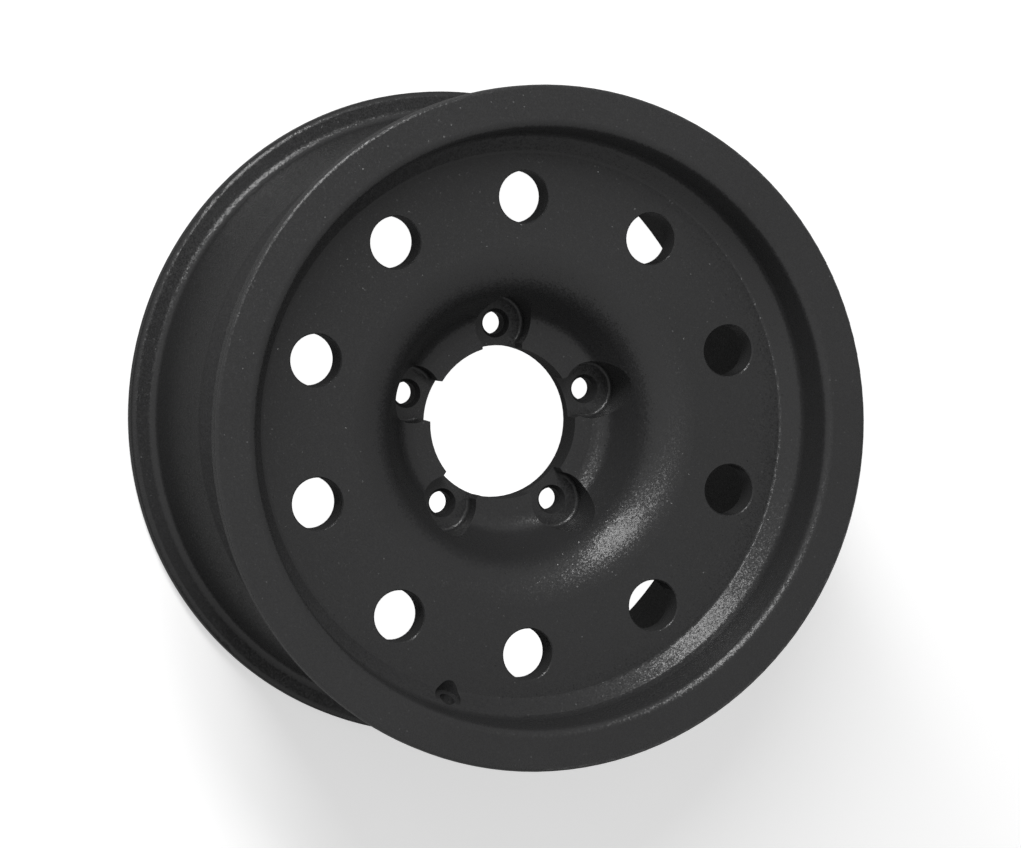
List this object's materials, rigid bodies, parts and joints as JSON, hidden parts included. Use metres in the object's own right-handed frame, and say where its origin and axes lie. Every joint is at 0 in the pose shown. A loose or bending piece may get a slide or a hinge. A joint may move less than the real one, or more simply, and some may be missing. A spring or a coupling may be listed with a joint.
{
  "type": "wheel rim",
  "caption": "One-piece cast alloy wheel rim for an off-road vehicle, with round windows, a deep centre bowl and milled lug pockets, in a dark textured coat.",
  "frame": {"origin": "centre of the wheel, on its axis and half way between the two ends of the rim", "axes": "+Z along the wheel's axis, out of the outboard face; +Y through the window and the lug hole that stand at the top in the picture"},
  "size_m": [0.4716, 0.4716, 0.2418],
  "materials": {
    "wheel_rim": "matte"
  },
  "bodies": {
    "root": {"wheel_rim": "wheel_rim"}
  },
  "joints": []
}
